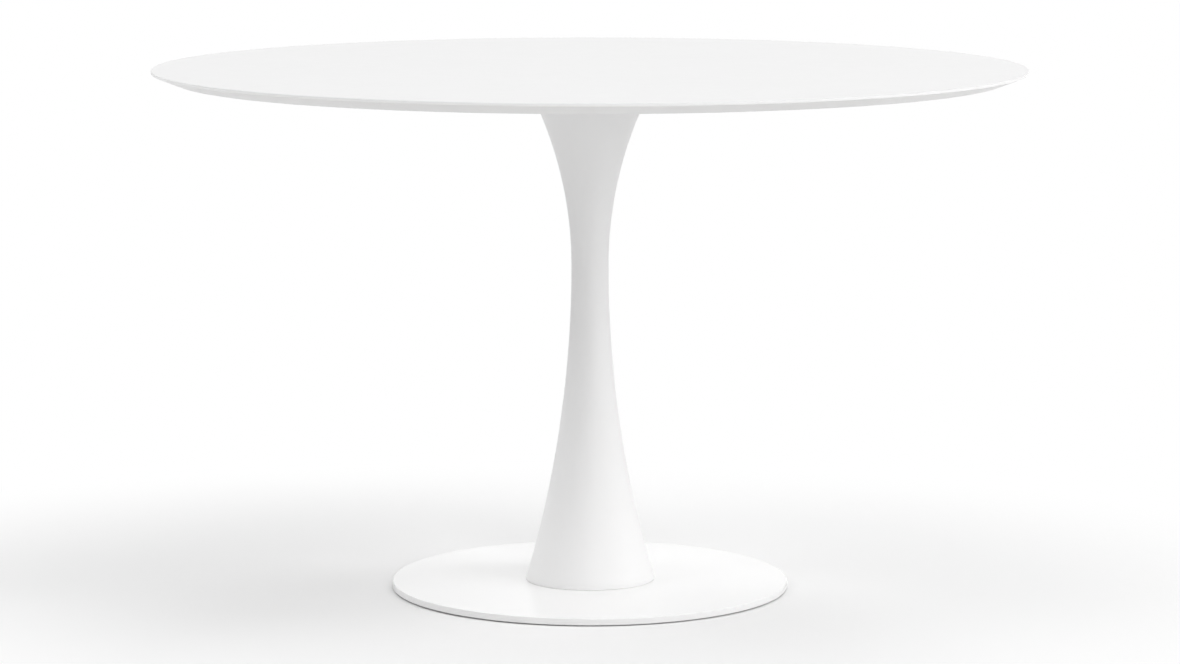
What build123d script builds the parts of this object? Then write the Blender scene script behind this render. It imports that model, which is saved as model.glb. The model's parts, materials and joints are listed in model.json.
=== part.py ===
from build123d import *
import os
from math import sqrt

# Round pedestal table: bevelled lacquered top on a waisted column and a flat disc base.
# Millimetres, +Z up. The origin is on the floor, on the axis of the column.

# ---------------------------------------------------------------- driving dimensions

# Whole table
TABLE_HEIGHT = 736.6
TOP_DIAMETER = 1219.2
BASE_DIAMETER = 558.8

# Table top: one disc with a thin upright lip and a long bevel under it
TOP_THICKNESS = 15.9
TOP_LIP_HEIGHT = 3.7
TOP_ARRIS = 1.0
TOP_BEVEL_RUN = 31.3

# Base plate and the glides that hold it off the floor
PLATE_THICKNESS = 9.5
PLATE_ARRIS = 1.3
PLATE_UNDER_CHAMFER = 0.8
GLIDE_COUNT = 6
GLIDE_DIAMETER = 22.0
GLIDE_HEIGHT = 1.5
GLIDE_EDGE_CHAMFER = 0.6
GLIDE_STEM_DIAMETER = 6.0
GLIDE_STEM_LENGTH = 5.5
GLIDE_HOLE_RELIEF = 0.5
GLIDE_EDGE_MARGIN = 10.4

# Outline of the column: two arcs that meet upright at the waist
WAIST_HEIGHT = 458.0
WAIST_DIAMETER = 52.2
FOOT_DIAMETER = 181.8
HEAD_DIAMETER = 176.0
SHELL_WALL = 2.0

# Rings welded to the two ends of the shell, flush with its outside
RING_HEIGHT = 4.2
RING_WIDTH = 12.0
RING_WITNESS = 0.4
FOOT_GASKET_THICKNESS = 0.8
HEAD_GASKET_THICKNESS = 1.0
GASKET_SETBACK = 0.8

# Load-bearing core: tube, sleeve at the waist and foot flange
SLEEVE_THICKNESS = 2.7
SLEEVE_LENGTH = 60.0
SLEEVE_SLIT = 2.0
SLEEVE_CLEARANCE = 0.2
TUBE_WALL = 3.2
FLANGE_THICKNESS = 12.0
FLANGE_SOCKET_DEPTH = 4.0
FLANGE_TOP_CHAMFER = 1.5
LOCATING_CLEARANCE = 0.3

# Mounting spider: round hub with a cross of hollow tapering arms
HUB_DISC_THICKNESS = 8.0
HUB_OVERHANG = 4.0
HUB_LIP_HEIGHT = 4.0
HUB_LIP_WIDTH = 4.0
HUB_WEB_THICKNESS = 8.0
HUB_BOSS_WALL = 7.0
HUB_SOCKET_DEPTH = 12.0
HUB_SOCKET_CLEARANCE = 0.15
HUB_RIB_THICKNESS = 5.0
HUB_WINDOW_DIAMETER = 18.0
ARM_COUNT = 4
ARM_REACH = 290.0
ARM_ROOT_WIDTH = 50.0
ARM_TIP_WIDTH = 28.0
ARM_ROOT_DEPTH = 17.0
ARM_TIP_DEPTH = 8.0
ARM_ROOT_OVERLAP = 2.0
ARM_ROOT_FILLET = 12.0
ARM_SKIN = 4.5
ARM_RIB = 3.5
SCREW_SEAT_DIAMETER = 17.0
SCREW_SEAT_HEIGHT = 1.0

# Central tie rod, M10, with its nuts and washers
ROD_DIAMETER = 10.0
ROD_HOLE_CLEARANCE = 0.5
ROD_END_CHAMFER = 1.0
ROD_TOP_STICKOUT = 2.5
ROD_BOTTOM_STICKOUT = 1.5
NUT_ACROSS_FLATS = 16.0
NUT_HEIGHT = 8.4
THIN_NUT_HEIGHT = 5.0
ROD_WASHER_DIAMETER = 20.0
ROD_WASHER_THICKNESS = 2.0
LOCK_WASHER_DIAMETER = 18.1
LOCK_WASHER_THICKNESS = 2.2
LOCK_WASHER_SLIT = 2.0
NUT_POCKET_MARGIN = 1.4
NUT_WRENCH_ROOM = 5.0

# Screws between the spider and the table top, M6, in threaded inserts
TOP_SCREW_DIAMETER = 6.0
TOP_SCREW_LENGTH = 16.0
TOP_SCREW_HEAD_DIAMETER = 10.5
TOP_SCREW_CROWN_DIAMETER = 6.6
TOP_SCREW_HEAD_HEIGHT = 3.3
TOP_SCREW_SOCKET = 4.0
TOP_SCREW_SOCKET_DEPTH = 2.0
TOP_WASHER_DIAMETER = 12.0
TOP_WASHER_THICKNESS = 1.6
INSERT_DIAMETER = 10.0
INSERT_LENGTH = 11.0
INSERT_HOLE_RELIEF = 1.0

# Countersunk screws between the base plate and the foot flange, M8
BASE_SCREW_COUNT = 4
BASE_SCREW_DIAMETER = 8.0
BASE_SCREW_LENGTH = 16.0
BASE_SCREW_HEAD_DIAMETER = 16.0
BASE_SCREW_HEAD_SINK = 0.4
BASE_SCREW_SOCKET = 5.0
BASE_SCREW_SOCKET_DEPTH = 2.6
BASE_SCREW_PITCH_DIAMETER = 112.0

# Shared fits
SCREW_HOLE_CLEARANCE = 0.3
THREAD_CLEARANCE = 0.05

# ---------------------------------------------------------------- heights, floor upwards

PLATE_BOTTOM = GLIDE_HEIGHT
PLATE_TOP = PLATE_BOTTOM + PLATE_THICKNESS
FLANGE_TOP = PLATE_TOP + FLANGE_THICKNESS
TUBE_BOTTOM = FLANGE_TOP - FLANGE_SOCKET_DEPTH
FOOT_RING_BOTTOM = PLATE_TOP + FOOT_GASKET_THICKNESS
SHELL_BOTTOM = FOOT_RING_BOTTOM + RING_HEIGHT

TOP_UNDERSIDE = TABLE_HEIGHT - TOP_THICKNESS
HUB_DISC_BOTTOM = TOP_UNDERSIDE - HUB_DISC_THICKNESS
HEAD_RING_TOP = HUB_DISC_BOTTOM - HEAD_GASKET_THICKNESS
SHELL_TOP = HEAD_RING_TOP - RING_HEIGHT

ROD_STACK_TOP = ROD_WASHER_THICKNESS + LOCK_WASHER_THICKNESS + NUT_HEIGHT + ROD_TOP_STICKOUT
NUT_POCKET_FLOOR = TOP_UNDERSIDE - ROD_STACK_TOP - NUT_POCKET_MARGIN
TUBE_TOP = NUT_POCKET_FLOOR - HUB_WEB_THICKNESS
HUB_BOSS_BOTTOM = TUBE_TOP - HUB_SOCKET_DEPTH

# ---------------------------------------------------------------- radii

TOP_RADIUS = TOP_DIAMETER / 2
PLATE_RADIUS = BASE_DIAMETER / 2
GLIDE_CIRCLE_RADIUS = PLATE_RADIUS - GLIDE_EDGE_MARGIN - GLIDE_DIAMETER / 2
WAIST_RADIUS = WAIST_DIAMETER / 2
TUBE_RADIUS = WAIST_RADIUS - SHELL_WALL - SLEEVE_CLEARANCE - SLEEVE_THICKNESS
ROD_RADIUS = ROD_DIAMETER / 2
ROD_HOLE_RADIUS = ROD_RADIUS + ROD_HOLE_CLEARANCE
NUT_POCKET_RADIUS = NUT_ACROSS_FLATS / sqrt(3) + NUT_WRENCH_ROOM
PLATE_CENTRE_HOLE_RADIUS = ROD_WASHER_DIAMETER / 2 + NUT_WRENCH_ROOM
TOP_SCREW_HOLE_RADIUS = TOP_SCREW_DIAMETER / 2 + SCREW_HOLE_CLEARANCE

FOOT_RADIUS = FOOT_DIAMETER / 2
HEAD_RADIUS = HEAD_DIAMETER / 2


def arc_through(end_radius, end_height):
    """Radius of the arc that stands upright at the waist and runs to an end of the column."""
    rise = abs(end_height - WAIST_HEIGHT)
    spread = end_radius - WAIST_RADIUS
    return (rise**2 + spread**2) / (2 * spread)


UPPER_ARC_RADIUS = arc_through(HEAD_RADIUS, HEAD_RING_TOP)
LOWER_ARC_RADIUS = arc_through(FOOT_RADIUS, FOOT_RING_BOTTOM)


def column_radius(height, inset=0.0):
    """Radius of the column at a height, on a surface that lies inset inside the outer one."""
    arc = UPPER_ARC_RADIUS if height > WAIST_HEIGHT else LOWER_ARC_RADIUS
    return WAIST_RADIUS + arc - sqrt((arc + inset) ** 2 - (height - WAIST_HEIGHT) ** 2)


FOOT_RING_BORE = FOOT_RADIUS - RING_WIDTH
FLANGE_RADIUS = FOOT_RING_BORE - LOCATING_CLEARANCE
HEAD_RING_BORE = HEAD_RADIUS - RING_WIDTH
HUB_RADIUS = HEAD_RADIUS + HUB_OVERHANG
HUB_LIP_RADIUS = HEAD_RING_BORE - LOCATING_CLEARANCE
HUB_SOCKET_RADIUS = TUBE_RADIUS + HUB_SOCKET_CLEARANCE
HUB_BOSS_RADIUS = HUB_SOCKET_RADIUS + HUB_BOSS_WALL
ARM_ROOT_RADIUS = HUB_RADIUS - ARM_ROOT_OVERLAP
ARM_TIP_CENTRE = ARM_REACH - ARM_TIP_WIDTH / 2

# ---------------------------------------------------------------- helpers


def turned(*corners):
    """Solid of revolution about Z of a polygon of (radius, height) corners."""
    return revolve(Plane.XZ * Polygon(*corners, align=None), Axis.Z)


def column(radius, low, high):
    """Plain cylinder on Z between two heights."""
    return Pos(0, 0, low) * Cylinder(radius, high - low, align=(Align.CENTER, Align.CENTER, Align.MIN))


def ring(inner, outer, low, high):
    """Flat ring about Z."""
    return turned((inner, low), (outer, low), (outer, high), (inner, high))


def round_rim(piece, height, radius):
    """Round the outermost circular edge of a piece at a height."""
    rims = piece.edges().filter_by(GeomType.CIRCLE).filter_by(lambda e: abs(e.center().Z - height) < 1e-3)
    return fillet(rims.sort_by(SortBy.RADIUS)[-1:], radius)


def around(piece, radius, count):
    """List of copies of a piece, moved out to a circle about Z."""
    return [place * piece for place in PolarLocations(radius, count)]


def hex_prism(across_flats, low, high):
    """Hexagonal prism on Z between two heights."""
    outline = RegularPolygon(across_flats / 2, 6, major_radius=False)
    return extrude(Pos(0, 0, low) * outline, high - low)


def hex_nut(across_flats, bore_radius, low, high):
    """Hexagonal nut with its corners turned off at 30 degrees on both faces."""
    flat_radius = across_flats / 2
    corner_radius = across_flats / sqrt(3)
    turn_off = (corner_radius - flat_radius) / sqrt(3)
    blank = turned(
        (0, low),
        (flat_radius, low),
        (corner_radius, low + turn_off),
        (corner_radius, high - turn_off),
        (flat_radius, high),
        (0, high),
    )
    return (hex_prism(across_flats, low, high) & blank) - column(bore_radius, low, high)


# ---------------------------------------------------------------- table top and its inserts


def make_table_top():
    """Lacquered board: upright lip, long bevel to a flat underside, blind holes for inserts."""
    lip_bottom = TABLE_HEIGHT - TOP_LIP_HEIGHT
    board = turned(
        (0, TOP_UNDERSIDE),
        (TOP_RADIUS - TOP_BEVEL_RUN, TOP_UNDERSIDE),
        (TOP_RADIUS, lip_bottom),
        (TOP_RADIUS, TABLE_HEIGHT),
        (0, TABLE_HEIGHT),
    )
    board = round_rim(board, TABLE_HEIGHT, TOP_ARRIS)
    hole_depth = INSERT_LENGTH + INSERT_HOLE_RELIEF
    hole = column(INSERT_DIAMETER / 2, TOP_UNDERSIDE, TOP_UNDERSIDE + hole_depth)
    return board - around(hole, ARM_TIP_CENTRE, ARM_COUNT)


def make_top_inserts():
    """Threaded inserts, flush with the underside of the top."""
    bore = TOP_SCREW_DIAMETER / 2 + THREAD_CLEARANCE
    insert = ring(bore, INSERT_DIAMETER / 2, TOP_UNDERSIDE, TOP_UNDERSIDE + INSERT_LENGTH)
    return Compound(around(insert, ARM_TIP_CENTRE, ARM_COUNT))


# ---------------------------------------------------------------- mounting spider


def arm_outline(inset=0.0, root=ARM_ROOT_RADIUS):
    """Plan of one arm along +X from a root radius: straight tapering sides and a round tip."""
    taper = (ARM_ROOT_WIDTH - ARM_TIP_WIDTH) / 2 / (ARM_TIP_CENTRE - ARM_ROOT_RADIUS)
    tip_radius = ARM_TIP_WIDTH / 2 - inset
    start = root + inset
    half_root = tip_radius + taper * (ARM_TIP_CENTRE - start)
    body = Polygon(
        (start, -half_root),
        (ARM_TIP_CENTRE, -tip_radius),
        (ARM_TIP_CENTRE, tip_radius),
        (start, half_root),
        align=None,
    )
    return body + Pos(ARM_TIP_CENTRE, 0) * Circle(tip_radius)


def arm_side_wedge():
    """Side view of an arm, deep at the root and shallow at the tip, spread over its width."""
    side = Polygon(
        (ARM_ROOT_RADIUS, TOP_UNDERSIDE),
        (ARM_ROOT_RADIUS, TOP_UNDERSIDE - ARM_ROOT_DEPTH),
        (ARM_REACH, TOP_UNDERSIDE - ARM_TIP_DEPTH),
        (ARM_REACH, TOP_UNDERSIDE),
        align=None,
    )
    return extrude(Plane.XZ * side, ARM_ROOT_WIDTH, both=True)


def make_arm():
    """One arm: an upturned tray whose rim and middle rib stiffen it, with a seat at the tip."""
    deep = TOP_UNDERSIDE - ARM_ROOT_DEPTH
    skin = TOP_UNDERSIDE - ARM_SKIN
    wedge = arm_side_wedge()
    block = extrude(Pos(0, 0, deep) * arm_outline(), ARM_ROOT_DEPTH) & wedge
    pocket = extrude(Pos(0, 0, deep) * arm_outline(ARM_RIB), skin - deep)
    middle_end = ARM_TIP_CENTRE - SCREW_SEAT_DIAMETER / 2 - ARM_RIB
    middle_length = middle_end - ARM_ROOT_RADIUS
    middle = Pos((ARM_ROOT_RADIUS + middle_end) / 2, 0, deep) * Box(
        middle_length, ARM_RIB, skin - deep, align=(Align.CENTER, Align.CENTER, Align.MIN)
    )
    seat = Pos(ARM_TIP_CENTRE, 0, 0) * column(SCREW_SEAT_DIAMETER / 2, skin - SCREW_SEAT_HEIGHT, skin)
    return block - pocket + [middle & wedge, seat]


def make_hub():
    """Hub: covering disc, lip that centres the column, boss with tube socket and nut pocket."""
    disc = column(HUB_RADIUS, HUB_DISC_BOTTOM, TOP_UNDERSIDE)
    lip_bottom = HUB_DISC_BOTTOM - HUB_LIP_HEIGHT
    lip = ring(HUB_LIP_RADIUS - HUB_LIP_WIDTH, HUB_LIP_RADIUS, lip_bottom, HUB_DISC_BOTTOM)
    boss = column(HUB_BOSS_RADIUS, HUB_BOSS_BOTTOM, HUB_DISC_BOTTOM)
    gusset_reach = HUB_LIP_RADIUS - HUB_LIP_WIDTH / 2
    gusset = Polygon(
        (0, HUB_BOSS_BOTTOM + HUB_LIP_HEIGHT),
        (HUB_BOSS_RADIUS, HUB_BOSS_BOTTOM + HUB_LIP_HEIGHT),
        (gusset_reach, lip_bottom),
        (gusset_reach, HUB_DISC_BOTTOM),
        (0, HUB_DISC_BOTTOM),
        align=None,
    )
    rib = extrude(Plane.XZ * gusset, HUB_RIB_THICKNESS / 2, both=True)
    window_circle = (HUB_BOSS_RADIUS + HUB_LIP_RADIUS - HUB_LIP_WIDTH) / 2
    window = Pos(window_circle, 0, 0) * column(HUB_WINDOW_DIAMETER / 2, HUB_DISC_BOTTOM, TOP_UNDERSIDE)
    half_pitch = Rot(0, 0, 180 / ARM_COUNT)
    hub = disc + [lip, boss] + around(rib, 0, ARM_COUNT)
    hub -= [half_pitch * copy for copy in around(window, 0, ARM_COUNT)]
    hub -= column(HUB_SOCKET_RADIUS, HUB_BOSS_BOTTOM, TUBE_TOP)
    hub -= column(ROD_HOLE_RADIUS, TUBE_TOP, NUT_POCKET_FLOOR)
    return hub - column(NUT_POCKET_RADIUS, NUT_POCKET_FLOOR, TOP_UNDERSIDE)


def make_arm_roots():
    """Webs of the disc's thickness that round off the corners between the arms and the hub."""
    arms = PolarLocations(0, ARM_COUNT)
    plan = Circle(HUB_RADIUS) + [place * arm_outline(root=HUB_BOSS_RADIUS) for place in arms]
    corners = plan.vertices().filter_by(lambda v: abs(Vector(v.X, v.Y).length - HUB_RADIUS) < 0.01)
    plan = fillet(corners, ARM_ROOT_FILLET)
    webs = plan & (Circle(HUB_RADIUS + 2 * ARM_ROOT_FILLET) - Circle(ARM_ROOT_RADIUS))
    webs -= [place * arm_outline(ARM_RIB) for place in arms]
    return extrude(Pos(0, 0, HUB_DISC_BOTTOM) * webs, HUB_DISC_THICKNESS)


def make_mounting_spider():
    """Cast spider: hub, arms and blended roots, drilled for the screws of the top."""
    spider = make_hub() + around(make_arm(), 0, ARM_COUNT) + make_arm_roots()
    hole = column(TOP_SCREW_HOLE_RADIUS, TOP_UNDERSIDE - ARM_ROOT_DEPTH, TOP_UNDERSIDE)
    return spider - around(hole, ARM_TIP_CENTRE, ARM_COUNT)


SCREW_SEAT_FACE = TOP_UNDERSIDE - ARM_SKIN - SCREW_SEAT_HEIGHT
TOP_SCREW_HEAD_TOP = SCREW_SEAT_FACE - TOP_WASHER_THICKNESS


def make_spider_washers():
    """Plain washers on the seats inside the arms."""
    washer = ring(TOP_SCREW_HOLE_RADIUS, TOP_WASHER_DIAMETER / 2, TOP_SCREW_HEAD_TOP, SCREW_SEAT_FACE)
    return Compound(around(washer, ARM_TIP_CENTRE, ARM_COUNT))


def make_spider_screws():
    """Button-head screws with a hexagon socket, driven upwards into the inserts."""
    shank = TOP_SCREW_DIAMETER / 2
    crown = TOP_SCREW_HEAD_TOP - TOP_SCREW_HEAD_HEIGHT
    tip = TOP_SCREW_HEAD_TOP + TOP_SCREW_LENGTH
    screw = turned(
        (0, crown),
        (TOP_SCREW_CROWN_DIAMETER / 2, crown),
        (TOP_SCREW_HEAD_DIAMETER / 2, TOP_SCREW_HEAD_TOP),
        (shank, TOP_SCREW_HEAD_TOP),
        (shank, tip),
        (0, tip),
    )
    screw -= hex_prism(TOP_SCREW_SOCKET, crown, crown + TOP_SCREW_SOCKET_DEPTH)
    return Compound(around(screw, ARM_TIP_CENTRE, ARM_COUNT))


# ---------------------------------------------------------------- column


def flare(low, high, inset=0.0):
    """Arc of the column's outline between two heights on one side of the waist."""
    middle = (low + high) / 2
    return ThreePointArc(*((column_radius(height, inset), height) for height in (low, middle, high)))


def make_column_shell():
    """Waisted thin-walled shell, open at both ends, its wall even along both arcs."""
    outline = flare(SHELL_BOTTOM, WAIST_HEIGHT) + flare(WAIST_HEIGHT, SHELL_TOP)
    outline += Line((column_radius(SHELL_TOP), SHELL_TOP), (column_radius(SHELL_TOP, SHELL_WALL), SHELL_TOP))
    outline += flare(WAIST_HEIGHT, SHELL_TOP, SHELL_WALL) + flare(SHELL_BOTTOM, WAIST_HEIGHT, SHELL_WALL)
    outline += Line(
        (column_radius(SHELL_BOTTOM, SHELL_WALL), SHELL_BOTTOM),
        (column_radius(SHELL_BOTTOM), SHELL_BOTTOM),
    )
    return revolve(Plane.XZ * make_face(outline), Axis.Z)


def make_foot_ring():
    """Machined ring under the shell, flush outside, with a fine witness groove at the joint."""
    return turned(
        (FOOT_RING_BORE, FOOT_RING_BOTTOM),
        (FOOT_RADIUS, FOOT_RING_BOTTOM),
        (column_radius(SHELL_BOTTOM - RING_WITNESS), SHELL_BOTTOM - RING_WITNESS),
        (column_radius(SHELL_BOTTOM) - RING_WITNESS, SHELL_BOTTOM),
        (FOOT_RING_BORE, SHELL_BOTTOM),
    )


def make_head_ring():
    """Machined ring on top of the shell, flush outside, with the same witness groove."""
    return turned(
        (HEAD_RING_BORE, SHELL_TOP),
        (column_radius(SHELL_TOP) - RING_WITNESS, SHELL_TOP),
        (column_radius(SHELL_TOP + RING_WITNESS), SHELL_TOP + RING_WITNESS),
        (HEAD_RADIUS, HEAD_RING_TOP),
        (HEAD_RING_BORE, HEAD_RING_TOP),
    )


def make_foot_gasket():
    """Thin soft ring between the column and the lacquer of the base plate."""
    return ring(FOOT_RING_BORE, FOOT_RADIUS - GASKET_SETBACK, PLATE_TOP, FOOT_RING_BOTTOM)


def make_head_gasket():
    """Soft ring that takes up the clamping load between the column and the spider."""
    return ring(HEAD_RING_BORE, HEAD_RADIUS - GASKET_SETBACK, HEAD_RING_TOP, HUB_DISC_BOTTOM)


def make_core_tube():
    """Steel tube that carries the top, from the foot flange to the spider."""
    return ring(TUBE_RADIUS - TUBE_WALL, TUBE_RADIUS, TUBE_BOTTOM, TUBE_TOP)


def make_waist_sleeve():
    """Slit plastic sleeve that centres the shell on the tube at the waist."""
    half = SLEEVE_LENGTH / 2
    outer = TUBE_RADIUS + SLEEVE_THICKNESS
    sleeve = ring(TUBE_RADIUS, outer, WAIST_HEIGHT - half, WAIST_HEIGHT + half)
    slit = Pos(outer, 0, WAIST_HEIGHT) * Box(2 * SLEEVE_THICKNESS + SLEEVE_SLIT, SLEEVE_SLIT, SLEEVE_LENGTH)
    return sleeve - slit


def make_foot_flange():
    """Disc welded to the foot of the tube: centres the shell and takes the plate's screws."""
    flange = turned(
        (0, PLATE_TOP),
        (FLANGE_RADIUS, PLATE_TOP),
        (FLANGE_RADIUS, FLANGE_TOP - FLANGE_TOP_CHAMFER),
        (FLANGE_RADIUS - FLANGE_TOP_CHAMFER, FLANGE_TOP),
        (0, FLANGE_TOP),
    )
    flange -= column(TUBE_RADIUS, TUBE_BOTTOM, FLANGE_TOP)
    flange -= column(ROD_HOLE_RADIUS, PLATE_TOP, TUBE_BOTTOM)
    thread = column(BASE_SCREW_DIAMETER / 2 + THREAD_CLEARANCE, PLATE_TOP, FLANGE_TOP)
    return flange - around(thread, BASE_SCREW_PITCH_DIAMETER / 2, BASE_SCREW_COUNT)


# ---------------------------------------------------------------- tie rod and its hardware

WASHER_UNDER_FLANGE = PLATE_TOP - ROD_WASHER_THICKNESS
THIN_NUT_BOTTOM = WASHER_UNDER_FLANGE - THIN_NUT_HEIGHT
ROD_BOTTOM = THIN_NUT_BOTTOM - ROD_BOTTOM_STICKOUT
TOP_WASHER_FACE = NUT_POCKET_FLOOR + ROD_WASHER_THICKNESS
TOP_NUT_SEAT = TOP_WASHER_FACE + LOCK_WASHER_THICKNESS
ROD_TOP = TOP_NUT_SEAT + NUT_HEIGHT + ROD_TOP_STICKOUT
THREADED_BORE = ROD_RADIUS + THREAD_CLEARANCE


def make_tie_rod():
    """Stud that clamps the spider, the tube and the foot flange together."""
    return turned(
        (0, ROD_BOTTOM),
        (ROD_RADIUS - ROD_END_CHAMFER, ROD_BOTTOM),
        (ROD_RADIUS, ROD_BOTTOM + ROD_END_CHAMFER),
        (ROD_RADIUS, ROD_TOP - ROD_END_CHAMFER),
        (ROD_RADIUS - ROD_END_CHAMFER, ROD_TOP),
        (0, ROD_TOP),
    )


def make_rod_washer(low):
    """Plain washer of the tie rod, lying at a height."""
    return ring(ROD_HOLE_RADIUS, ROD_WASHER_DIAMETER / 2, low, low + ROD_WASHER_THICKNESS)


def make_rod_lock_washer():
    """Split spring washer, pressed flat under the top nut."""
    washer = ring(ROD_HOLE_RADIUS, LOCK_WASHER_DIAMETER / 2, TOP_WASHER_FACE, TOP_NUT_SEAT)
    slit = Box(LOCK_WASHER_DIAMETER, LOCK_WASHER_SLIT, 2 * LOCK_WASHER_THICKNESS)
    return washer - Pos(LOCK_WASHER_DIAMETER / 2, 0, TOP_NUT_SEAT) * slit


# ---------------------------------------------------------------- base


BASE_SCREW_HEAD_FACE = PLATE_BOTTOM + BASE_SCREW_HEAD_SINK


def make_base_plate():
    """Lacquered steel disc with a rounded top arris, drilled and countersunk from below."""
    plate = turned(
        (PLATE_CENTRE_HOLE_RADIUS, PLATE_BOTTOM),
        (PLATE_RADIUS - PLATE_UNDER_CHAMFER, PLATE_BOTTOM),
        (PLATE_RADIUS, PLATE_BOTTOM + PLATE_UNDER_CHAMFER),
        (PLATE_RADIUS, PLATE_TOP),
        (PLATE_CENTRE_HOLE_RADIUS, PLATE_TOP),
    )
    plate = round_rim(plate, PLATE_TOP, PLATE_ARRIS)
    hole_radius = BASE_SCREW_DIAMETER / 2 + SCREW_HOLE_CLEARANCE
    head_radius = BASE_SCREW_HEAD_DIAMETER / 2
    cone_end = BASE_SCREW_HEAD_FACE + (head_radius - hole_radius)
    countersunk_hole = turned(
        (0, PLATE_BOTTOM),
        (head_radius, PLATE_BOTTOM),
        (head_radius, BASE_SCREW_HEAD_FACE),
        (hole_radius, cone_end),
        (hole_radius, PLATE_TOP),
        (0, PLATE_TOP),
    )
    plate -= around(countersunk_hole, BASE_SCREW_PITCH_DIAMETER / 2, BASE_SCREW_COUNT)
    stem_top = PLATE_BOTTOM + GLIDE_STEM_LENGTH + GLIDE_HOLE_RELIEF
    stem_hole = column(GLIDE_STEM_DIAMETER / 2, PLATE_BOTTOM, stem_top)
    return plate - around(stem_hole, GLIDE_CIRCLE_RADIUS, GLIDE_COUNT)


def make_base_screws():
    """Countersunk screws with a hexagon socket, up through the plate into the flange."""
    shank = BASE_SCREW_DIAMETER / 2
    head = BASE_SCREW_HEAD_DIAMETER / 2
    tip = BASE_SCREW_HEAD_FACE + BASE_SCREW_LENGTH
    screw = turned(
        (0, BASE_SCREW_HEAD_FACE),
        (head, BASE_SCREW_HEAD_FACE),
        (shank, BASE_SCREW_HEAD_FACE + (head - shank)),
        (shank, tip),
        (0, tip),
    )
    socket_end = BASE_SCREW_HEAD_FACE + BASE_SCREW_SOCKET_DEPTH
    screw -= hex_prism(BASE_SCREW_SOCKET, BASE_SCREW_HEAD_FACE, socket_end)
    return Compound(around(screw, BASE_SCREW_PITCH_DIAMETER / 2, BASE_SCREW_COUNT))


def make_base_glides():
    """Plastic glides: a low disc on the floor and a stem pressed into the plate."""
    disc_radius = GLIDE_DIAMETER / 2
    stem_radius = GLIDE_STEM_DIAMETER / 2
    stem_top = GLIDE_HEIGHT + GLIDE_STEM_LENGTH
    glide = turned(
        (0, 0),
        (disc_radius - GLIDE_EDGE_CHAMFER, 0),
        (disc_radius, GLIDE_EDGE_CHAMFER),
        (disc_radius, GLIDE_HEIGHT),
        (stem_radius, GLIDE_HEIGHT),
        (stem_radius, stem_top),
        (0, stem_top),
    )
    return Compound(around(glide, GLIDE_CIRCLE_RADIUS, GLIDE_COUNT))


# ---------------------------------------------------------------- all pieces

PIECES = {
    "table_top": make_table_top(),
    "top_inserts": make_top_inserts(),
    "mounting_spider": make_mounting_spider(),
    "spider_washers": make_spider_washers(),
    "spider_screws": make_spider_screws(),
    "column_shell": make_column_shell(),
    "head_ring": make_head_ring(),
    "head_gasket": make_head_gasket(),
    "foot_ring": make_foot_ring(),
    "foot_gasket": make_foot_gasket(),
    "core_tube": make_core_tube(),
    "waist_sleeve": make_waist_sleeve(),
    "foot_flange": make_foot_flange(),
    "tie_rod": make_tie_rod(),
    "rod_top_nut": hex_nut(NUT_ACROSS_FLATS, THREADED_BORE, TOP_NUT_SEAT, TOP_NUT_SEAT + NUT_HEIGHT),
    "rod_lock_washer": make_rod_lock_washer(),
    "rod_top_washer": make_rod_washer(NUT_POCKET_FLOOR),
    "rod_bottom_washer": make_rod_washer(WASHER_UNDER_FLANGE),
    "rod_bottom_nut": hex_nut(NUT_ACROSS_FLATS, THREADED_BORE, THIN_NUT_BOTTOM, WASHER_UNDER_FLANGE),
    "base_plate": make_base_plate(),
    "base_screws": make_base_screws(),
    "base_glides": make_base_glides(),
}

os.makedirs("parts", exist_ok=True)
for name, piece in PIECES.items():
    export_step(piece, f"parts/{name}.step")
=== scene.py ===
"""Looks of the round pedestal table: lacquers, fine mesh pieces, floor, light and camera.

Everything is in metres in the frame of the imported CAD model: +Z is up, the floor is at height 0,
the table's axis goes through the origin, and the photo looks along +Y.
"""
import json
import math

import bmesh
import bpy
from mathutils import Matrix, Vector


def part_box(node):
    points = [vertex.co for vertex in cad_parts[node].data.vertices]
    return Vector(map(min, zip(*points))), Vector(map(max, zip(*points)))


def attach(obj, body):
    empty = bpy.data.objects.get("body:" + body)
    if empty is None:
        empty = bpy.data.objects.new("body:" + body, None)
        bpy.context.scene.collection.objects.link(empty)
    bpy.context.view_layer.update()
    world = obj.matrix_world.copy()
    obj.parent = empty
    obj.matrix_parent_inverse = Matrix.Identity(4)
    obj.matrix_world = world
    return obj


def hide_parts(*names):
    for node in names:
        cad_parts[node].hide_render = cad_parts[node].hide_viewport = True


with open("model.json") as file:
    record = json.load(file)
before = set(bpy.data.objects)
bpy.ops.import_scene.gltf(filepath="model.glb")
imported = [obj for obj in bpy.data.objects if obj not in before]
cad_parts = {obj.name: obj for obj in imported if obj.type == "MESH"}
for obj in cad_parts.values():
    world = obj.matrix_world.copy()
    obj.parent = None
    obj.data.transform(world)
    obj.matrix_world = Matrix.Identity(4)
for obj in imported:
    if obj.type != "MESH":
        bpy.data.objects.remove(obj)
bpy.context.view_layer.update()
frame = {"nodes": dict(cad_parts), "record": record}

NODES = frame["nodes"]
MM = 0.001

# ---------------------------------------------------------------- sizes that the frame gives

TOP_LOW, TOP_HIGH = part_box("table_top")
SHELL_LOW, SHELL_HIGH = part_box("column_shell")
FOOT_LOW, FOOT_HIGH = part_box("foot_ring")
_, HEAD_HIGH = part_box("head_ring")

# ---------------------------------------------------------------- sizes of the fine pieces

# The same sizes as in the CAD model, in metres here.
TOP_LIP_HEIGHT = 3.7 * MM
TOP_ARRIS = 1.0 * MM
TOP_BEVEL_RUN = 31.3 * MM
WAIST_HEIGHT = 458.0 * MM
WAIST_RADIUS = 26.1 * MM
SHELL_WALL = 2.0 * MM

# Two small roundings of the top that only its fine piece has.
TOP_LIP_BREAK = 0.4 * MM
TOP_BEVEL_EASE = 2.0 * MM

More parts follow.
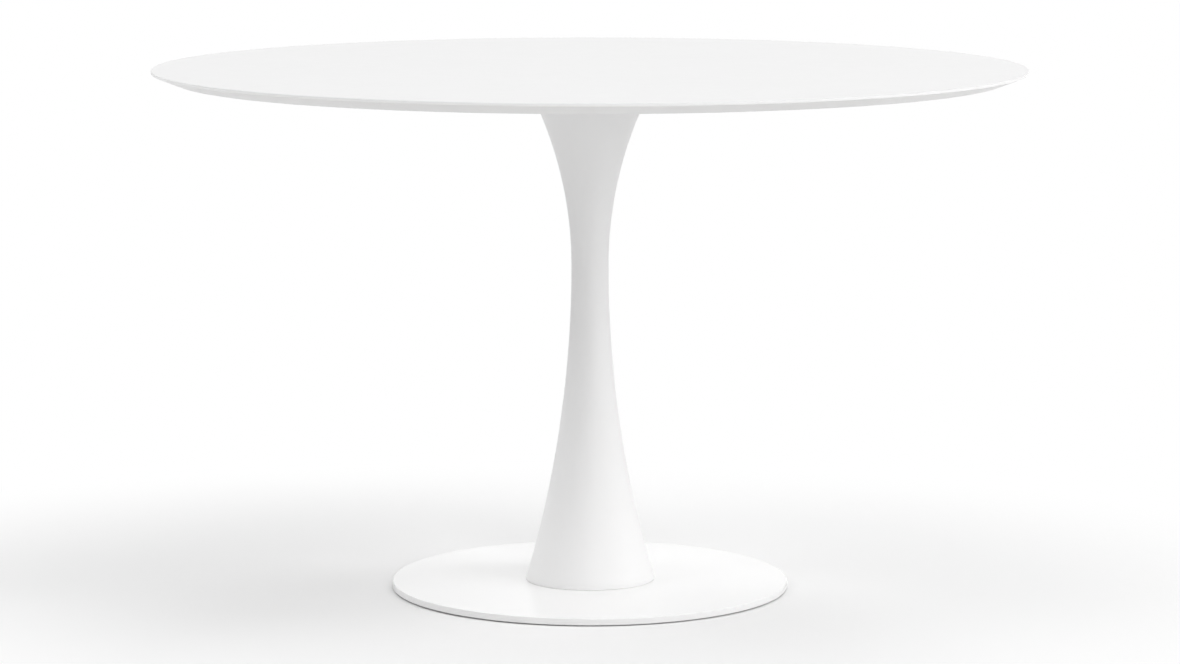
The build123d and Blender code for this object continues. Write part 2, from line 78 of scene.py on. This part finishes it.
# Facets of a full turn, of a rounded corner and of the column's two arcs.
TURN_STEPS = 512
CORNER_STEPS = 6
LOWER_ARC_STEPS = 64
UPPER_ARC_STEPS = 48
SHARP_ANGLE = math.radians(28)

# ---------------------------------------------------------------- camera

# Fitted to the outlines of the top, the column and the base plate in the photo.
CAMERA_DISTANCE = 5.7095
CAMERA_HEIGHT = 1.165
CAMERA_PITCH = 0.1395
CAMERA_LENS = 124.95
CAMERA_SENSOR = 36.0


def make_camera():
    """Long lens above the height of the top, looking along +Y and a little down."""
    data = bpy.data.cameras.new("camera")
    data.lens = CAMERA_LENS
    data.sensor_width = CAMERA_SENSOR
    camera = bpy.data.objects.new("camera", data)
    camera.location = (0, -CAMERA_DISTANCE, CAMERA_HEIGHT)
    camera.rotation_euler = (math.pi / 2 - CAMERA_PITCH, 0, 0)
    bpy.context.scene.collection.objects.link(camera)
    bpy.context.scene.camera = camera


# ---------------------------------------------------------------- node helpers

# Noise seldom leaves these limits.
NOISE_LOW = 0.3
NOISE_HIGH = 0.7

COARSE_DETAIL = 4.0
MIDDLE_DETAIL = 3.0
FINE_DETAIL = 2.0


class Shader:
    """A node tree of a material or world, with short calls to add and link nodes."""

    def __init__(self, owner):
        owner.use_nodes = True
        self.owner = owner
        self.tree = owner.node_tree
        self.tree.nodes.clear()

    def add(self, kind, **settings):
        """Add a node; settings name its properties, or its input sockets with _ for a space."""
        node = self.tree.nodes.new(kind)
        for key, value in settings.items():
            if hasattr(node, key):
                setattr(node, key, value)
            else:
                node.inputs[key.replace("_", " ")].default_value = value
        return node

    def link(self, source, target):
        """Join an output socket to an input socket."""
        self.tree.links.new(source, target)

    def feed(self, targets, values):
        """Link each value that is a socket to its target, and set the others directly."""
        for target, value in zip(targets, values):
            if isinstance(value, bpy.types.NodeSocket):
                self.link(value, target)
            else:
                target.default_value = value

    def number(self, operation, first, second):
        """Work out a number from two numbers or sockets."""
        node = self.add("ShaderNodeMath", operation=operation)
        self.feed(node.inputs, (first, second))
        return node.outputs["Value"]

    def vector(self, operation, first, second=(0, 0, 0), result="Vector"):
        """Work out a vector, or with result="Value" a number, from two vectors or sockets."""
        node = self.add("ShaderNodeVectorMath", operation=operation)
        self.feed(node.inputs, (first, second))
        return node.outputs[result]

    def noise(self, scale, detail, place):
        """Noise over a place, at a number of grains to the metre."""
        node = self.add("ShaderNodeTexNoise", Scale=scale, Detail=detail)
        self.link(place, node.inputs["Vector"])
        return node.outputs["Fac"]

    def span(self, value, start, end, first=0, second=1, curve="LINEAR"):
        """Map a value between two limits onto a range, flat beyond the limits."""
        node = self.add("ShaderNodeMapRange", interpolation_type=curve, From_Min=start, From_Max=end,
                        To_Min=first, To_Max=second)
        self.link(value, node.inputs["Value"])
        return node.outputs["Result"]

    def spread(self, grain, low, high):
        """Map noise, which keeps to the middle of its range, onto a range of values."""
        return self.span(grain, NOISE_LOW, NOISE_HIGH, low, high)

    def uneven(self, grain, middle, share):
        """A number that varies with noise by a share of itself."""
        return self.spread(grain, middle * (1 - share), middle * (1 + share))

    def tint(self, factor, first, second):
        """Blend two colours by a factor; each is a colour or a colour socket."""
        node = self.add("ShaderNodeMix", data_type="RGBA")
        colours = ((*colour, 1) if isinstance(colour, tuple) else colour for colour in (first, second))
        self.feed(node.inputs[6:8], colours)
        self.link(factor, node.inputs["Factor"])
        return node.outputs[2]

    def bump(self, height, depth, strength=1.0):
        """Bump of a height factor, in metres of depth."""
        node = self.add("ShaderNodeBump", Strength=strength, Distance=depth)
        self.link(height, node.inputs["Height"])
        return node.outputs["Normal"]

    def blend(self, factor, first, second):
        """Mix two surfaces by a factor."""
        node = self.add("ShaderNodeMixShader")
        self.feed(node.inputs, (factor, first, second))
        return node.outputs["Shader"]

    def finish(self, surface, kind="ShaderNodeOutputMaterial"):
        """Link a surface to the output and return the material or world."""
        output = self.add(kind)
        self.link(surface, output.inputs["Surface"])
        return self.owner


def object_place(shader):
    """Coordinates of a shaded point in its object, in metres."""
    return shader.add("ShaderNodeTexCoord").outputs["Object"]


# ---------------------------------------------------------------- materials

MOTTLE_SHADE = 0.99

# Limits of the normal's height between which one facing passes into the next, for the painted light and
# shade by facing.
TURNS_UP = (0.1, 0.9)
TURNS_DOWN = (-0.95, -0.6)

LACQUER_IOR = 1.5
LACQUER_MOTTLE_GRAIN = 9.0
LACQUER_HAZE_GRAIN = 38.0
LACQUER_HAZE = 0.06

METAL_CLOUD_GRAIN = 60.0
METAL_HAZE = 0.3
METAL_GRAIN_DEPTH = 0.05 * MM
METAL_GRAIN_STRENGTH = 0.5

MOULDED_IOR = 1.48
MOULDED_MOTTLE_GRAIN = 25.0
MOULDED_HAZE = 0.15
MOULDED_GRAIN_STRENGTH = 0.6


def mottled(shader, mottle, tone):
    """A tone that a faint mottle darkens by a hundredth."""
    return shader.tint(mottle, tone, tuple(channel * MOTTLE_SHADE for channel in tone))


def painted_light_by_facing(shader, mottle, face, side, under):
    """Mottled tone of a surface that faces up, sideways or down: lit and shaded copies of one lacquer,
    painted light and shade by facing.
    """
    split = shader.add("ShaderNodeSeparateXYZ")
    shader.link(shader.add("ShaderNodeNewGeometry").outputs["True Normal"], split.inputs["Vector"])
    lift = split.outputs["Z"]
    face, side, under = (mottled(shader, mottle, tone) for tone in (face, side, under))
    lower = shader.tint(shader.span(lift, *TURNS_DOWN), under, side)
    return shader.tint(shader.span(lift, *TURNS_UP), lower, face)


def lacquer(name, *tones, roughness, coat, coat_roughness, peel_grain, peel_depth):
    """Sprayed lacquer in one tone, or in three tones by facing that are painted light and shade: faint
    mottle, orange peel, uneven gloss.
    """
    shader = Shader(bpy.data.materials.new(name))
    place = object_place(shader)
    mottle = shader.spread(shader.noise(LACQUER_MOTTLE_GRAIN, COARSE_DETAIL, place), 0, 1)
    haze = shader.noise(LACQUER_HAZE_GRAIN, MIDDLE_DETAIL, place)
    peel = shader.bump(shader.noise(peel_grain, FINE_DETAIL, place), peel_depth)
    # With three tones, the colour carries painted light and shade by facing.
    paint = mottled if len(tones) == 1 else painted_light_by_facing
    body = shader.add("ShaderNodeBsdfPrincipled", IOR=LACQUER_IOR, Coat_IOR=LACQUER_IOR,
                      Coat_Weight=coat, Coat_Roughness=coat_roughness)
    shader.link(paint(shader, mottle, *tones), body.inputs["Base Color"])
    shader.link(shader.uneven(haze, roughness, LACQUER_HAZE), body.inputs["Roughness"])
    shader.link(peel, body.inputs["Normal"])
    shader.link(peel, body.inputs["Coat Normal"])
    return shader.finish(body.outputs["BSDF"])


def metal(name, bright, dull, *, roughness, grain):
    """Bare or plated metal: cloudy tone and a fine grain."""
    shader = Shader(bpy.data.materials.new(name))
    place = object_place(shader)
    cloud = shader.spread(shader.noise(METAL_CLOUD_GRAIN, COARSE_DETAIL, place), 0, 1)
    haze = shader.uneven(shader.noise(grain, MIDDLE_DETAIL, place), roughness, METAL_HAZE)
    grit = shader.noise(grain, FINE_DETAIL, place)
    bump = shader.bump(grit, METAL_GRAIN_DEPTH, METAL_GRAIN_STRENGTH)
    body = shader.add("ShaderNodeBsdfPrincipled", Metallic=1.0)
    shader.link(shader.tint(cloud, bright, dull), body.inputs["Base Color"])
    shader.link(haze, body.inputs["Roughness"])
    shader.link(bump, body.inputs["Normal"])
    return shader.finish(body.outputs["BSDF"])


def moulded(name, pale, deep, *, roughness, grain, depth):
    """Plastic, rubber or powder coat: matt body with a fine pebbled surface."""
    shader = Shader(bpy.data.materials.new(name))
    place = object_place(shader)
    mottle = shader.spread(shader.noise(MOULDED_MOTTLE_GRAIN, MIDDLE_DETAIL, place), 0, 1)
    pebbles = shader.noise(grain, FINE_DETAIL, place)
    body = shader.add("ShaderNodeBsdfPrincipled", IOR=MOULDED_IOR)
    shader.link(shader.tint(mottle, pale, deep), body.inputs["Base Color"])
    shader.link(shader.uneven(pebbles, roughness, MOULDED_HAZE), body.inputs["Roughness"])
    shader.link(shader.bump(pebbles, depth, MOULDED_GRAIN_STRENGTH), body.inputs["Normal"])
    return shader.finish(body.outputs["BSDF"])


# Upper face, upright edge and underside of each lacquered piece, matched to the photo. These are lit and
# shaded copies of one lacquer: on the board, a painted highlight lightens the lip, and painted shade
# darkens the bevel and underside.
BOARD_FACE = (0.792, 0.791, 0.791)
BOARD_LIP_PAINTED_LIGHT = (0.865, 0.863, 0.860)
BOARD_UNDER_PAINTED_SHADE = (0.772, 0.769, 0.764)
STEEL_WHITE = (0.896, 0.893, 0.893)
# On the plate, the upper face is a touch lighter than the column's white as painted light, painted shade
# darkens the upright edge, and near-black painted shade under the plate darkens the gap above the floor.
PLATE_FACE = (0.910, 0.910, 0.910)
PLATE_EDGE_PAINTED_SHADE = (0.850, 0.849, 0.848)
PLATE_UNDER_PAINTED_SHADE = (0.060, 0.060, 0.062)

MATERIALS = {
    "board": lacquer("board_lacquer", BOARD_FACE, BOARD_LIP_PAINTED_LIGHT, BOARD_UNDER_PAINTED_SHADE, roughness=0.36,
                     coat=0.0, coat_roughness=0.1, peel_grain=330.0, peel_depth=0.003 * MM),
    "steel": lacquer("steel_lacquer", STEEL_WHITE, roughness=0.5,
                     coat=0.15, coat_roughness=0.3, peel_grain=400.0, peel_depth=0.004 * MM),
    "plate": lacquer("plate_lacquer", PLATE_FACE, PLATE_EDGE_PAINTED_SHADE, PLATE_UNDER_PAINTED_SHADE, roughness=0.5,
                     coat=0.70, coat_roughness=0.02, peel_grain=400.0, peel_depth=0.001 * MM),
    "casting": moulded("powder_coat", (0.80, 0.80, 0.79), (0.76, 0.76, 0.75),
                       roughness=0.45, grain=900.0, depth=0.1 * MM),
    "silicone": moulded("silicone", (0.93, 0.93, 0.92), (0.90, 0.90, 0.89),
                        roughness=0.6, grain=1500.0, depth=0.1 * MM),
    "nylon": moulded("black_nylon", (0.05, 0.05, 0.05), (0.035, 0.035, 0.035),
                     roughness=0.45, grain=1200.0, depth=0.05 * MM),
    "pale_nylon": moulded("pale_nylon", (0.80, 0.80, 0.77), (0.74, 0.74, 0.71),
                          roughness=0.4, grain=1200.0, depth=0.05 * MM),
    "zinc": metal("zinc_plate", (0.72, 0.73, 0.74), (0.58, 0.59, 0.60), roughness=0.28, grain=1200.0),
    "bare": metal("bare_steel", (0.45, 0.45, 0.46), (0.34, 0.34, 0.35), roughness=0.38, grain=800.0),
    "brass": metal("brass", (0.75, 0.60, 0.32), (0.62, 0.48, 0.24), roughness=0.30, grain=900.0),
}

SLOT_MATERIALS = {
    "white_board_lacquer": "board",
    "white_steel_lacquer": "steel",
    "white_casting": "casting",
    "zinc_steel": "zinc",
    "raw_steel": "bare",
    "zinc_insert": "brass",
    "white_gasket": "silicone",
    "glide_plastic": "nylon",
    "sleeve_plastic": "pale_nylon",
}

NODE_MATERIALS = {"base_plate": "plate"}


def dress_cad_nodes():
    """Give every CAD node the procedural material of its slot, or one of its own."""
    for part in frame["record"]["subparts"]:
        by_slot = SLOT_MATERIALS[part["material_slot"]]
        material = MATERIALS[NODE_MATERIALS.get(part["node"], by_slot)]
        for holder in NODES[part["node"]].material_slots:
            holder.material = material


# ---------------------------------------------------------------- fine pieces


def round_corner(before, corner, after, radius):
    """Points of an arc that rounds one corner of an outline of (radius, height) points."""
    before, corner, after = (Vector(point) for point in (before, corner, after))
    back = (before - corner).normalized()
    ahead = (after - corner).normalized()
    half = back.angle(ahead) / 2
    reach = radius / math.tan(half)
    centre = corner + (back + ahead).normalized() * (radius / math.sin(half))
    start = corner + back * reach - centre
    turn = start.angle_signed(corner + ahead * reach - centre)
    points = []
    for step in range(CORNER_STEPS + 1):
        angle = -turn * step / CORNER_STEPS
        spoke = Vector((start.x * math.cos(angle) - start.y * math.sin(angle),
                        start.x * math.sin(angle) + start.y * math.cos(angle)))
        points.append(tuple(centre + spoke))
    return points


def ring(work, radius, height):
    """Vertices of one ring of a turned piece, or the one vertex on its axis."""
    if radius == 0:
        return [work.verts.new((0, 0, height))]
    angles = (2 * math.pi * step / TURN_STEPS for step in range(TURN_STEPS))
    return [work.verts.new((radius * math.cos(turn), radius * math.sin(turn), height)) for turn in angles]


def bridge(work, first, second):
    """Faces between two rings, of which either may be one vertex on the axis."""
    for step in range(TURN_STEPS):
        after = (step + 1) % TURN_STEPS
        if len(first) == 1:
            work.faces.new((first[0], second[after], second[step]))
        elif len(second) == 1:
            work.faces.new((first[step], first[after], second[0]))
        else:
            work.faces.new((first[step], first[after], second[after], second[step]))


def lathe(name, outline, material, slot, *replaced, closed=True):
    """Turn an outline of (radius, height) points about Z into a smooth piece that stands for nodes."""
    mesh = bpy.data.meshes.new(name)
    work = bmesh.new()
    rings = [ring(work, *point) for point in outline]
    pairs = list(zip(rings, rings[1:]))
    if closed:
        pairs.append((rings[-1], rings[0]))
    for first, second in pairs:
        bridge(work, first, second)
    bmesh.ops.recalc_face_normals(work, faces=work.faces)
    work.to_mesh(mesh)
    work.free()
    mesh.shade_smooth()
    mesh.set_sharp_from_angle(angle=SHARP_ANGLE)
    mesh.materials.append(MATERIALS[material])
    piece = bpy.data.objects.new(name, mesh)
    bpy.context.scene.collection.objects.link(piece)
    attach(piece, "root")
    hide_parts(*replaced)
    return piece


def make_top():
    """Table top: flat face, tight arris, upright lip, long bevel eased into the flat underside."""
    radius, face, under = TOP_HIGH.x, TOP_HIGH.z, TOP_LOW.z
    centre_top, centre_under = (0, face), (0, under)
    rim_top, rim_lip = (radius, face), (radius, face - TOP_LIP_HEIGHT)
    bevel_end = (radius - TOP_BEVEL_RUN, under)
    # Rings close to each rounded corner keep the shading of the flat faces flat.
    outline = [centre_under, (radius / 2, under)]
    outline += [(radius - TOP_BEVEL_RUN - 3 * TOP_BEVEL_EASE, under)]
    outline += round_corner(centre_under, bevel_end, rim_lip, TOP_BEVEL_EASE)
    outline += round_corner(bevel_end, rim_lip, rim_top, TOP_LIP_BREAK)
    outline += round_corner(rim_lip, rim_top, centre_top, TOP_ARRIS)
    outline += [(radius - 2 * TOP_ARRIS, face), (radius - 6 * TOP_ARRIS, face)]
    outline += [(radius / 2, face), centre_top]
    lathe("top_board", outline, "board", "white_board_lacquer", "table_top", closed=False)


def arc_radius(end_radius, end_height):
    """Radius of the arc that stands upright at the waist and ends at a point."""
    rise = abs(end_height - WAIST_HEIGHT)
    spread = end_radius - WAIST_RADIUS
    return (rise * rise + spread * spread) / (2 * spread)


def flare(low, high, end_radius, end_height, inset, steps):
    """Points of one arc of the column between two heights, some way inside the outer surface."""
    arc = arc_radius(end_radius, end_height)
    points = []
    for step in range(steps + 1):
        height = low + (high - low) * step / steps
        reach = math.sqrt((arc + inset) ** 2 - (height - WAIST_HEIGHT) ** 2)
        points.append((WAIST_RADIUS + arc - reach, height))
    return points


def make_column():
    """Column shell: two long arcs outside, the same two a wall inside."""
    foot = (FOOT_HIGH.x, FOOT_LOW.z)
    head = (HEAD_HIGH.x, HEAD_HIGH.z)
    outline = []
    outline += flare(SHELL_LOW.z, WAIST_HEIGHT, *foot, 0.0, LOWER_ARC_STEPS)
    outline += flare(WAIST_HEIGHT, SHELL_HIGH.z, *head, 0.0, UPPER_ARC_STEPS)[1:]
    outline += flare(SHELL_HIGH.z, WAIST_HEIGHT, *head, SHELL_WALL, UPPER_ARC_STEPS // 2)
    outline += flare(WAIST_HEIGHT, SHELL_LOW.z, *foot, SHELL_WALL, LOWER_ARC_STEPS // 2)[1:]
    lathe("column_skin", outline, "steel", "white_steel_lacquer", "column_shell")


# ---------------------------------------------------------------- floor, world and lamps

FLOOR_SIZE = 400.0
FLOOR_TONE = 0.84
FADE_CENTRE = (-0.10, 0.01, 0)
FADE_STRETCH = (1, 1.23, 0)
FADE_START = 0.15
FADE_END = 1.26

GLOW_STRENGTH = 1.57
GLOW_FOCUS = 6.0
GLOW_AZIMUTH = 135
GLOW_ELEVATION = 22

# The lamps stand far off, so that their light is as strong on the floor as on the top.
LAMP_AIM = Vector((0, 0, 0.2))
LAMP_DISTANCE = 20.0
SOFTBOX = (8.6, 8.6)
SMALL_SOFTBOX = (6.6, 4.8)


def direction(azimuth, elevation):
    """Unit vector from the table towards an azimuth and elevation in degrees."""
    turn, lift = math.radians(azimuth), math.radians(elevation)
    return Vector((math.cos(turn) * math.cos(lift), math.sin(turn) * math.cos(lift), math.sin(lift)))


def seen_directly(shader):
    """1 for camera, mirror and see-through rays, which see the plain background, else 0."""
    path = shader.add("ShaderNodeLightPath").outputs
    seen = shader.number("MAXIMUM", path["Is Camera Ray"], path["Is Glossy Ray"])
    return shader.number("MAXIMUM", seen, path["Is Transmission Ray"])


def fade_out(shader):
    """Share of white in the floor: none next to the table, all beyond an oval round it."""
    position = shader.add("ShaderNodeNewGeometry").outputs["Position"]
    offset = shader.vector("SUBTRACT", position, FADE_CENTRE)
    stretched = shader.vector("MULTIPLY", offset, FADE_STRETCH)
    reach = shader.vector("LENGTH", stretched, result="Value")
    return shader.span(reach, FADE_START, FADE_END, curve="SMOOTHSTEP")


def make_floor():
    """Plain pale floor that keeps the table's shadow and fades to white away from it."""
    shader = Shader(bpy.data.materials.new("floor"))
    paint = shader.add("ShaderNodeBsdfDiffuse", Color=(FLOOR_TONE, FLOOR_TONE, FLOOR_TONE, 1))
    white = shader.add("ShaderNodeEmission", Strength=1.0)
    factor = shader.number("MULTIPLY", fade_out(shader), seen_directly(shader))
    surface = shader.blend(factor, paint.outputs["BSDF"], white.outputs["Emission"])
    mesh = bpy.data.meshes.new("floor")
    half = FLOOR_SIZE / 2
    corners = [(-half, -half, 0), (half, -half, 0), (half, half, 0), (-half, half, 0)]
    mesh.from_pydata(corners, [], [(0, 1, 2, 3)])
    mesh.materials.append(shader.finish(surface))
    floor = bpy.data.objects.new("floor", mesh)
    bpy.context.scene.collection.objects.link(floor)


def make_world():
    """White background to the eye; to every other ray, one broad glow at the back left."""
    world = bpy.data.worlds.new("studio")
    world.cycles.sampling_method = "NONE"
    bpy.context.scene.world = world
    shader = Shader(world)
    ray = shader.add("ShaderNodeTexCoord").outputs["Generated"]
    centre = direction(GLOW_AZIMUTH, GLOW_ELEVATION)
    facing = shader.vector("DOT_PRODUCT", ray, centre, result="Value")
    lobe = shader.number("POWER", shader.number("MAXIMUM", facing, 0), GLOW_FOCUS)
    glow = shader.add("ShaderNodeBackground", Color=(1, 1, 1, 1))
    shader.link(shader.number("MULTIPLY", lobe, GLOW_STRENGTH), glow.inputs["Strength"])
    white = shader.add("ShaderNodeBackground", Color=(1, 1, 1, 1), Strength=1.0)
    factor = seen_directly(shader)
    surface = shader.blend(factor, glow.outputs["Background"], white.outputs["Background"])
    shader.finish(surface, "ShaderNodeOutputWorld")


def make_lamp(name, azimuth, elevation, size, watts):
    """Softbox that faces the table; mirrors don't show it, so no lacquer burns out."""
    data = bpy.data.lights.new(name, "AREA")
    data.shape = "RECTANGLE"
    data.size, data.size_y = size
    data.energy = watts
    toward = direction(azimuth, elevation)
    lamp = bpy.data.objects.new(name, data)
    lamp.location = LAMP_AIM + LAMP_DISTANCE * toward
    lamp.visible_camera = False
    lamp.visible_glossy = False
    lamp.rotation_euler = (-toward).to_track_quat("-Z", "Y").to_euler()
    bpy.context.scene.collection.objects.link(lamp)


def make_lamps():
    """Softboxes: low in front and at the right, high at the left and front right, one behind."""
    make_lamp("front_low", 280, 20, SOFTBOX, 894)
    make_lamp("right_low", 355, 20, SOFTBOX, 974)
    make_lamp("left", 205, 44, SOFTBOX, 1404)
    make_lamp("front_right", 330, 44, SOFTBOX, 1868)
    make_lamp("back", 75, 50, SMALL_SOFTBOX, 1030)


# ---------------------------------------------------------------- assembly

dress_cad_nodes()
make_top()
make_column()
make_floor()
make_world()
make_lamps()
make_camera()
bpy.context.scene.view_settings.view_transform = "Standard"
